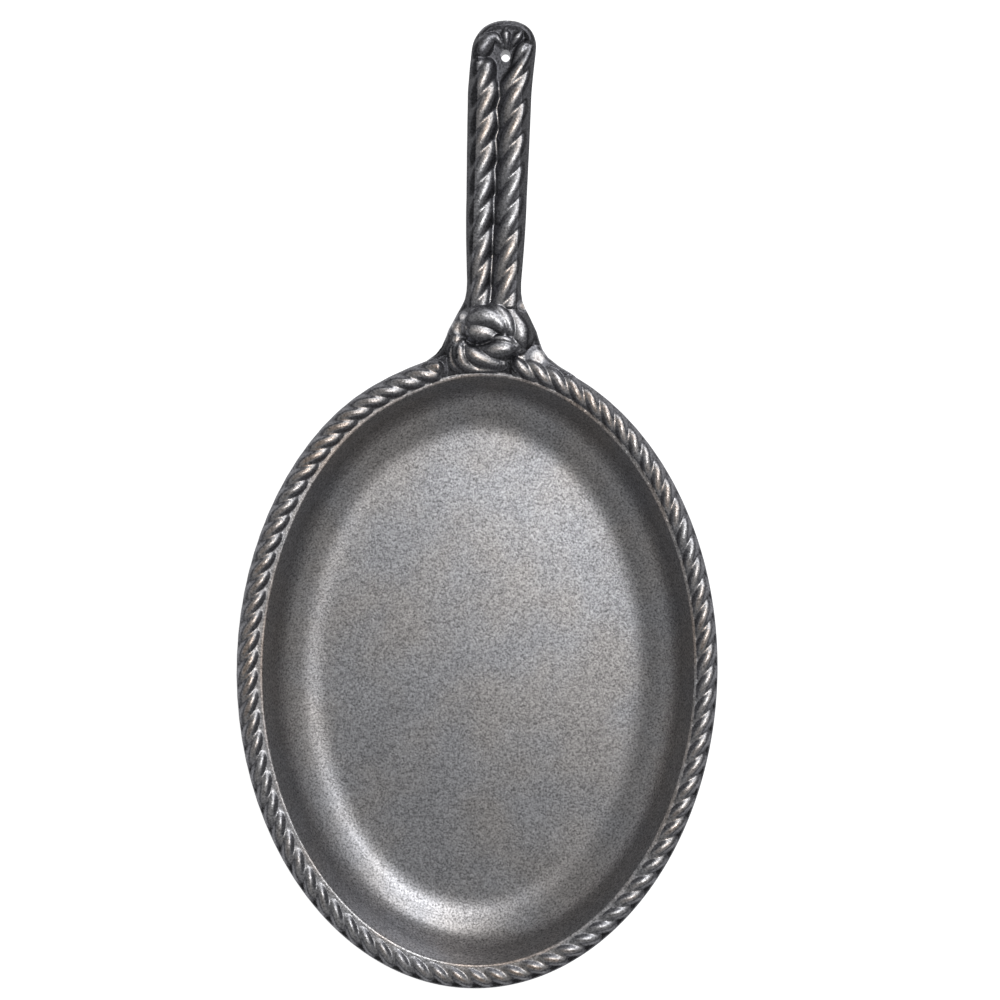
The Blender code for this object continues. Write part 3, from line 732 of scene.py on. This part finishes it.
def make_cast_iron(finish):
    """Bare grey iron, cast in sand."""
    # Grey iron from a sand mould gives the eye a fine speckle of small pits. Its colour here also carries
    # painted shade, darkest in low places and dark on steep faces, and painted highlights of pale metal, a
    # little smoother, where faces look up, which stand partly for rubbed crests.
    # Moulding sand of about 0.3 mm is too fine to show, so its grain is drawn at 0.8 mm.
    material = bpy.data.materials.new("sand_cast_iron")
    material.use_nodes = True
    tree = material.node_tree
    shader = tree.nodes["Principled BSDF"]
    place = add_node(tree, "ShaderNodeTexCoord").outputs["Object"]
    grain = add_node(tree, "ShaderNodeTexNoise", [("Vector", place), ("Scale", 1 / (GRAIN * MM)),
                     ("Detail", 3.0), ("Roughness", 0.6)]).outputs["Fac"]
    patches = add_node(tree, "ShaderNodeTexNoise", [("Vector", place), ("Scale", 1 / (PATCH * MM)),
                       ("Detail", 5.0), ("Roughness", 0.6)]).outputs["Fac"]
    clouds = add_node(tree, "ShaderNodeTexNoise", [("Vector", place), ("Scale", 1 / (CLOUD * MM)),
                      ("Detail", 3.0)]).outputs["Fac"]
    wear_and_painted_light = add_node(tree, "ShaderNodeAttribute", attribute_name="wear_and_painted_light").outputs["Fac"]

    # Each row turns a value that runs from low to high to the range of another
    ramps = []
    for value, low, high, to_low, to_high, kind in (
            (wear_and_painted_light, DEEP_SHADE_TONE, STEEP_SHADE_TONE, 0.0, 1.0, "LINEAR"),
            (wear_and_painted_light, DARK_TONE, DISH_TONE, 0.0, 1.0, "SMOOTHSTEP"),
            (wear_and_painted_light, DISH_TONE, CREST_HIGHLIGHT_TONE, 0.0, 1.0, "LINEAR"),
            (wear_and_painted_light, DISH_TONE, LIP_HIGHLIGHT_TONE, finish.roughness, finish.rubbed_roughness, "LINEAR"),
            (clouds, 0.40, 0.62, 0.0, 1.0, "LINEAR"),
            (grain, 0.25, 0.75, 0.25, 1.75, "LINEAR"),
            (patches, 0.3, 0.7, 0.93, 1.07, "LINEAR")):
        ramps.append(add_node(tree, "ShaderNodeMapRange", [("Value", value), ("From Min", low),
                              ("From Max", high), ("To Min", to_low), ("To Max", to_high)],
                              interpolation_type=kind).outputs["Result"])
    out_of_deep_shade, out_of_shade, bright, rough, warmth, grain_tone, patch_tone = ramps

    # Painted deep shade, painted shade on steep faces, bare metal and painted highlights of rubbed metal,
    # each over the one before
    tints = []
    for factor, first, second in ((out_of_deep_shade, finish.deep_shade, finish.scale),
                                  (warmth, finish.cool, finish.plain),
                                  (warmth, finish.rubbed_highlight, finish.warm)):
        tints.append(add_node(tree, "ShaderNodeMix", [(0, factor), (6, (*first, 1.0)),
                              (7, (*second, 1.0))], data_type="RGBA").outputs[2])
    shading, bare, rubbed_highlight = tints
    for factor, over in ((out_of_shade, bare), (bright, rubbed_highlight)):
        shading = add_node(tree, "ShaderNodeMix", [(0, factor), (6, shading), (7, over)],
                        data_type="RGBA").outputs[2]
    tone = add_node(tree, "ShaderNodeMath", [(0, grain_tone), (1, patch_tone)],
                    operation="MULTIPLY").outputs[0]
    toned = add_node(tree, "ShaderNodeVectorMath", [(0, shading), ("Scale", tone)],
                     operation="SCALE").outputs[0]
    bump = add_node(tree, "ShaderNodeBump", [("Height", grain), ("Strength", 0.6),
                    ("Distance", GRAIN_DEPTH)]).outputs[0]
    shader.inputs["Metallic"].default_value = 1.0
    tree.links.new(toned, shader.inputs["Base Color"])
    tree.links.new(rough, shader.inputs["Roughness"])
    tree.links.new(bump, shader.inputs["Normal"])


class PAN_OT_dish(bpy.types.Operator):
    """Dish with its flat floor, rounded foot, sloping wall and flat base"""
    bl_idname = "pan.dish"
    bl_label = "Dish"

    def execute(self, context):
        size = context.scene.pan_sizes
        top = ledge_height(size)
        slope = 1 / math.tan(size.wall_angle)
        wall_foot = size.wall_thickness + size.fillet_radius * (1 - math.cos(size.wall_angle))
        wall_top = top - DISH_LAP
        steps = [(slope * (wall_top - wall_foot), wall_top - wall_foot)]
        turns = np.linspace(size.wall_angle, 0, FILLET_STEPS + 1)
        eased = 1 + FOOT_EASE * (1 - turns[:-1] / size.wall_angle) ** 4
        falls = size.fillet_radius * eased * (np.cos(turns[1:]) - np.cos(turns[:-1]))
        scale = size.fillet_radius * (1 - math.cos(size.wall_angle)) / falls.sum()
        runs = scale * size.fillet_radius * eased * (np.sin(turns[:-1]) - np.sin(turns[1:]))
        steps += list(zip(runs, scale * falls))
        under_radius = size.fillet_radius + size.wall_thickness
        under_foot = under_radius * (1 - math.cos(size.wall_angle))
        under_top = top - BASE_LAP
        under = [(slope * (under_top - under_foot), under_top - under_foot)]
        for before, after in zip(turns, turns[1:]):
            run = under_radius * (math.sin(before) - math.sin(after))
            fall = under_radius * (math.cos(after) - math.cos(before))
            under.append((run, fall))
        deselect()
        bpy.ops.mesh.primitive_circle_add(vertices=DISH_POINTS, radius=size.rim_width / 2,
                                          fill_type="NGON", enter_editmode=True)
        dish = named("dish")
        wall_shift = size.wall_thickness / math.sin(size.wall_angle)
        for height, outside, course in ((wall_top, False, steps), (under_top, True, under)):
            if outside:
                bpy.ops.mesh.select_all(action="DESELECT")
                bpy.ops.mesh.primitive_circle_add(vertices=DISH_POINTS, radius=size.rim_width / 2,
                                                  fill_type="NGON")
            bm = bmesh.from_edit_mesh(dish.data)
            for vert in bm.verts:
                if vert.select:
                    turn = math.atan2(vert.co.y, vert.co.x)
                    inset = ring_width(size, turn) + slope * (top - height)
                    if outside:
                        inset -= wall_shift
                    x, y = rim_place(size, turn, inset)
                    vert.co = (x, y, height)
            bmesh.update_edit_mesh(dish.data)
            for run, fall in course:
                bpy.ops.mesh.inset(thickness=run, depth=-fall, use_even_offset=True)
            for _ in range(FLOOR_RINGS):
                bpy.ops.mesh.extrude_region()
                bpy.ops.transform.resize(value=(FLOOR_SHRINK, FLOOR_SHRINK, 1.0))
            bpy.ops.mesh.merge(type="CENTER")
        bpy.ops.mesh.select_all(action="DESELECT")
        bm = bmesh.from_edit_mesh(dish.data)
        for edge in bm.edges:
            if edge.is_boundary:
                edge.select = True
        bmesh.update_edit_mesh(dish.data)
        bpy.ops.mesh.bridge_edge_loops()
        bpy.ops.object.mode_set(mode="OBJECT")
        turn_outwards()
        finish_piece(size, dish, math.radians(35))
        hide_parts("pan_bowl")
        return {"FINISHED"}


class PAN_OT_rim(bpy.types.Operator):
    """Rim with its twisted rope, its outer band and the ledge inside it"""
    bl_idname = "pan.rim"
    bl_label = "Rim"

    def execute(self, context):
        size = context.scene.pan_sizes
        top = ledge_height(size)
        turns, counts = rim_counts(size)
        lanes = []
        for strand in range(RIM_STRAND_TOTAL):
            middle = np.interp(strand + 0.5, counts, turns)
            x, y = rim_place(size, middle, 0.0)
            place, along = handle_frame(size, x, y)
            dense = along > DENSE_FROM and abs(place) < DENSE_HALF
            parts = np.arange(KNOT_COLUMNS) / KNOT_COLUMNS if dense else STRAND_COLUMNS
            lanes += [strand + part for part in parts]
        lanes = np.array(lanes)
        phase = np.abs(lanes - np.round(lanes)) * 2
        radius = size.rope_radius * (1 - ROPE_TAPER * phase ** 2)
        swings = np.linspace(-ROPE_REACH, ROPE_REACH, ROPE_ROWS)
        lay = RIM_STRANDS / (2 * math.pi)
        rows = []
        slope = 1 / math.tan(size.wall_angle)
        corner = size.edge_round

        def angle_at(count):
            return np.interp((count - counts[0]) % RIM_STRAND_TOTAL + counts[0], counts, turns)

        def add_row(count, inset, height=None, width_share=None):
            turn = angle_at(count)
            if width_share is not None:
                inset = inset + (ring_width(size, turn) - corner - inset) * width_share
            x, y = rim_place(size, turn, inset)
            if height is None:
                rope = rim_rope_height(size, count, inset - rope_inset(size, turn), x, y)
                ground = np.full(len(x), top)
                place, along = handle_frame(size, x, y)
                inside = (y > 0) & (np.abs(place) < web_half_width(along) - 0.001)
                lip = np.clip(corner - inset, 0, corner)
                fall = corner - np.sqrt(corner ** 2 - lip ** 2)
                fall = fall + size.outer_fall * (1 - ease(inset, 0.0, OUTER_FALL_OVER))
                ground = ground - fall * ~inside - ledge_drop(size, inset)
                height = smooth_max(ground, rope, size.rope_fillet)
                from_dish = ring_width(size, turn) - inset
                seat = ease(from_dish, *SEAT_FROM) * knot_zone(place, SEAT_LAP)
                height = height - KNOT_SEAT * seat * (y > 0)
            rows.append(np.stack([x, y, np.broadcast_to(height, x.shape)], 1))

        outer = lanes + lay * math.pi / 2
        inner = lanes - lay * math.pi / 2
        wide = ring_width(size, angle_at(inner))
        side_steps = np.linspace(0, 1, EDGE_ROWS + 2)[1:-1]
        start = rope_inset(size, angle_at(outer)) - radius * math.sin(ROPE_REACH)
        add_row(outer, 0.0, top - corner - size.outer_fall)
        for part in CORNER_PARTS:
            add_row(outer, corner * part)
        for part in side_steps:
            add_row(outer, corner + (start - corner) * part)
        for swing in swings:
            count = lanes - lay * swing
            add_row(count, rope_inset(size, angle_at(count)) + radius * math.sin(swing))
        finish = rope_inset(size, angle_at(inner)) + radius * math.sin(ROPE_REACH)
        for part in np.linspace(0, 1, LEDGE_ROWS + 1)[1:]:
            add_row(inner, finish, width_share=part)
        lip = corner * LIP_SHARE
        lip_drop = ledge_drop(size, wide - corner)
        lip_end = wide + slope * lip * (1 - math.cos(size.wall_angle))
        for turn in np.linspace(0, size.wall_angle, LIP_ROWS + 1)[1:]:
            inset = lip_end - lip * (math.sin(size.wall_angle) - math.sin(turn))
            add_row(inner, inset, top - lip_drop - lip * (1 - math.cos(turn)))
        for depth in WALL_DEPTHS:
            add_row(inner, wide + slope * depth + 0.00001, top - depth)
        foot = top - size.band_depth
        under = foot - size.band_undercut
        for inset, height in zip(UNDER_INSETS, (top - INNER_DEPTH, under, under)):
            add_row(inner, wide - inset, height)
        add_row(outer, corner, foot)
        add_row(outer, 0.0, foot + corner)
        points = np.stack(rows, 1)
        points = np.concatenate([points, points[:1]], 0)
        points = np.concatenate([points, points[:, :1]], 1)
        rim = sheet_of_points("rim", points)
        turn_outwards()
        finish_piece(size, rim, math.radians(50))
        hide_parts("rim_rope")
        return {"FINISHED"}


class PAN_OT_handle(bpy.types.Operator):
    """Handle with its two ropes, end bend and hanging hole, and the knot at its root"""
    bl_idname = "pan.handle"
    bl_label = "Handle and knot"

    def execute(self, context):
        size = context.scene.pan_sizes
        end_at = size.handle_length - size.end_width / 2
        tip = np.linspace(0, math.pi / 2, TIP_ROWS)
        rows = np.concatenate([np.arange(HANDLE_START, KNOT_END, KNOT_ROW_STEP),
                               np.arange(KNOT_END, end_at - HANDLE_ROW_STEP / 2, HANDLE_ROW_STEP),
                               end_at + size.end_width / 2 * np.sin(tip)])
        bow = ease(-rows, -0.003, 0.004)
        half_width = size.rim_width / 2

        def drop(across):
            return size.rim_length / 2 * (1 - np.sqrt(1 - (across / half_width) ** 2))

        half = bar_half_width(size, rows)
        for _ in range(WIDTH_ROUNDS):
            half = bar_half_width(size, rows - drop(half) * bow)
        across = self.spread(half) + end_shift(rows)[:, None]
        along = rows[:, None] - drop(across) * bow[:, None]
        dense = np.linspace(OUTLINE_FROM, size.handle_length, OUTLINE_POINTS)
        dense = np.concatenate([dense, end_at + size.end_width / 2 * np.sin(tip)])
        dense.sort()
        edge_line = np.stack([bar_half_width(size, dense), dense], 1)
        level = across - end_shift(along)
        mirrored = np.stack([np.abs(level).ravel(), along.ravel()], 1)
        edge, _ = distance_to(mirrored, edge_line)
        edge = edge.reshape(across.shape)
        x, y = handle_place(size, across, along)
        top = handle_height(size, across, along, edge)
        reach = np.hypot(x / half_width, y / (size.rim_length / 2))
        slant = np.hypot(x / half_width ** 2, y / (size.rim_length / 2) ** 2) / reach
        inset = (1 - reach) / slant
        beside = 1 - knot_zone(across)
        wide = ring_width(size, math.pi / 2)
        dive = beside * ease(inset, *ROOT_DIVE_AT)
        dive = np.maximum(dive, ease(inset - wide, *DISH_DIVE_AT))
        step = ROOT_STEP * ease(inset, -0.0003, 0.0)
        top = top - step - ROOT_DIVE * dive - ledge_drop(size, inset)
        lowest = bar_top(size, along) - size.web_edge
        lowest = np.where(inset > 0.0001, np.minimum(lowest, top - 0.0005), lowest)
        top = np.maximum(top, lowest)
        wing = ease(np.abs(across), *WING_FROM) * (along < NECK_AT)
        thick = size.handle_thickness - WING_THINNER * wing
        bottom = bar_top(size, along) - thick
        inner = np.clip(size.handle_edge - edge, 0, size.handle_edge)
        lift = size.handle_edge - np.sqrt(np.clip(size.handle_edge ** 2 - inner ** 2, 0, None))
        bottom = bottom + lift
        sheet_top = np.stack([x, y, top], 2)
        sheet_bottom = np.stack([x, y, bottom], 2)[:, ::-1]
        left_side = (sheet_top[:, -1:] + sheet_bottom[:, :1]) / 2
        right_side = (sheet_top[:, :1] + sheet_bottom[:, -1:]) / 2
        keep = np.linspace(0, HANDLE_COLUMNS - 1, BOTTOM_COLUMNS).round().astype(int)
        loop = np.concatenate([sheet_top, left_side, sheet_bottom[:, keep], right_side], 1)
        handle = sheet_of_points("handle", np.concatenate([loop, loop[:, :1]], 1))
        turn_outwards()
        self.drill(size, handle)
        finish_piece(size, handle, math.radians(50))
        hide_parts("handle_core", "handle_rope_left", "handle_rope_right", "handle_bight",
                    "knot_upper_turn", "knot_inner_turn", "knot_right_turn", "knot_lower_turn")
        return {"FINISHED"}

    def spread(self, half):
        """Columns across each row: close over the knot, and close to the edges of the grip."""
        part = np.linspace(-1, 1, HANDLE_COLUMNS)[None, :]
        half = half[:, None]
        grip = half * (0.45 * part + 0.55 * np.sin(part * math.pi / 2))
        outer = KNOT_HALF_WIDTH + (half - KNOT_HALF_WIDTH) * (np.abs(part) - KNOT_SHARE) / (1 - KNOT_SHARE)
        inner = KNOT_HALF_WIDTH * np.abs(part) / KNOT_SHARE
        web = np.sign(part) * np.where(np.abs(part) < KNOT_SHARE, inner, outer)
        return grip + (web - grip) * ease(half, 0.0150, 0.0190)

    def drill(self, size, handle):
        """Cuts the hanging hole with a slightly oval drill."""
        across, along = hole_place(size)
        x, y = handle_place(size, across, along)
        height = bar_top(size, np.array(along))
        deselect()
        bpy.ops.mesh.primitive_cylinder_add(vertices=28, radius=0.5, depth=0.04,
                                            location=(x, y, float(height)))
        drill = bpy.context.object
        drill.scale = (size.hole_width, size.hole_length, 1.0)
        bpy.ops.object.transform_apply()
        deselect()
        handle.select_set(True)
        bpy.context.view_layer.objects.active = handle
        cut = handle.modifiers.new("hanging hole", "BOOLEAN")
        cut.operation = "DIFFERENCE"
        cut.solver = "EXACT"
        cut.object = drill
        bpy.ops.object.modifier_apply(modifier=cut.name)
        bpy.data.objects.remove(drill)


def soft_box(name, place, aim, width, height, level):
    """A rectangular softbox; level is its brightness as a camera would see it."""
    light = bpy.data.lights.new(name, "AREA")
    light.shape = "RECTANGLE"
    light.size = width
    light.size_y = height
    light.energy = level * math.pi * width * height
    item = bpy.data.objects.new(name, light)
    bpy.context.scene.collection.objects.link(item)
    item.location = place
    item.rotation_euler = (Vector(aim) - Vector(place)).to_track_quat("-Z", "Y").to_euler()


class PAN_OT_studio(bpy.types.Operator):
    """Pale floor, soft light and the camera straight above the pan"""
    bl_idname = "pan.studio"
    bl_label = "Studio"

    def execute(self, context):
        studio = context.scene.pan_studio
        scene = context.scene
        scene.view_settings.view_transform = "Standard"
        deselect()
        bpy.ops.mesh.primitive_grid_add(x_subdivisions=8, y_subdivisions=8, size=24.0)
        floor = named("floor")
        # Matt paint, rolled on, gives the eye one even pale tone; a glow that only the camera
        # and reflections see keeps it white
        paint = bpy.data.materials.new("pale_floor_paint")
        paint.use_nodes = True
        tree = paint.node_tree
        shader = tree.nodes["Principled BSDF"]
        shader.inputs["Base Color"].default_value = (0.34, 0.34, 0.34, 1.0)
        shader.inputs["Roughness"].default_value = 0.9
        shader.inputs["Specular IOR Level"].default_value = 0.0
        path = add_node(tree, "ShaderNodeLightPath")
        seen = path.outputs["Is Camera Ray"]
        for ray in ("Is Glossy Ray", "Is Transmission Ray"):
            seen = add_node(tree, "ShaderNodeMath", [(0, seen), (1, path.outputs[ray])],
                            operation="MAXIMUM").outputs[0]
        shader.inputs["Emission Color"].default_value = (*studio.floor, 1.0)
        tree.links.new(seen, shader.inputs["Emission Strength"])
        floor.data.materials.append(paint)

        world = bpy.data.worlds.new("studio_walls")
        scene.world = world
        world.use_nodes = True
        tree = world.node_tree
        back = tree.nodes["Background"]
        place = add_node(tree, "ShaderNodeTexCoord").outputs["Generated"]
        parts = add_node(tree, "ShaderNodeSeparateXYZ", [(0, place)])
        walls = add_node(tree, "ShaderNodeMapRange", [("Value", parts.outputs["Z"]),
                         ("From Min", 0.60), ("From Max", 0.95), ("To Min", 0.38),
                         ("To Max", 0.18)], interpolation_type="SMOOTHSTEP")
        tree.links.new(walls.outputs["Result"], back.inputs["Strength"])
        back.inputs["Color"].default_value = (1.0, 1.0, 1.0, 1.0)

        soft_box("overhead_softbox", (0.25, 0.25, 1.25), (0.02, 0.06, 0.0), 0.24, 0.24,
                 20.0 * studio.key_level)
        soft_box("window_softbox", (0.50, 1.05, 1.10), (0.0, 0.0, 0.0), 1.0, 0.8, 3.2)

        camera = bpy.data.objects.new("camera", bpy.data.cameras.new("camera"))
        scene.collection.objects.link(camera)
        camera.location = (0.0080, 0.0676, 0.850)
        camera.rotation_euler = (0.0, 0.0, math.radians(0.92))
        camera.data.lens = 74.5
        camera.data.sensor_width = 36.0
        camera.data.clip_start = 0.01
        scene.camera = camera
        return {"FINISHED"}


class PAN_PT_panel(bpy.types.Panel):
    """Lists the pan's pieces and sizes"""
    bl_idname = "PAN_PT_panel"
    bl_label = "Griddle pan"
    bl_space_type = "VIEW_3D"
    bl_region_type = "UI"
    bl_category = "Griddle pan"

    def draw(self, context):
        layout = self.layout
        for kind in OPERATORS:
            layout.operator(kind.bl_idname)
        for group in (context.scene.pan_sizes, context.scene.pan_finish, context.scene.pan_studio):
            for name in group.bl_rna.properties.keys():
                if name not in ("rna_type", "name"):
                    layout.prop(group, name)


OPERATORS = (PAN_OT_studio, PAN_OT_dish, PAN_OT_rim, PAN_OT_handle)
CLASSES = (PanSizes, PanFinish, PanStudio) + OPERATORS + (PAN_PT_panel,)


def register():
    for kind in CLASSES:
        bpy.utils.register_class(kind)
    bpy.types.Scene.pan_sizes = bpy.props.PointerProperty(type=PanSizes)
    bpy.types.Scene.pan_finish = bpy.props.PointerProperty(type=PanFinish)
    bpy.types.Scene.pan_studio = bpy.props.PointerProperty(type=PanStudio)


def unregister():
    for name in ("pan_sizes", "pan_finish", "pan_studio"):
        delattr(bpy.types.Scene, name)
    for kind in reversed(CLASSES):
        bpy.utils.unregister_class(kind)


def plain(box):
    return [[float(number) for number in corner] for corner in box]


def main():
    register()
    bpy.ops.pan.studio()
    make_cast_iron(bpy.context.scene.pan_finish)
    bpy.ops.pan.dish()
    bpy.ops.pan.rim()
    bpy.ops.pan.handle()


if __name__ == "__main__":
    main()
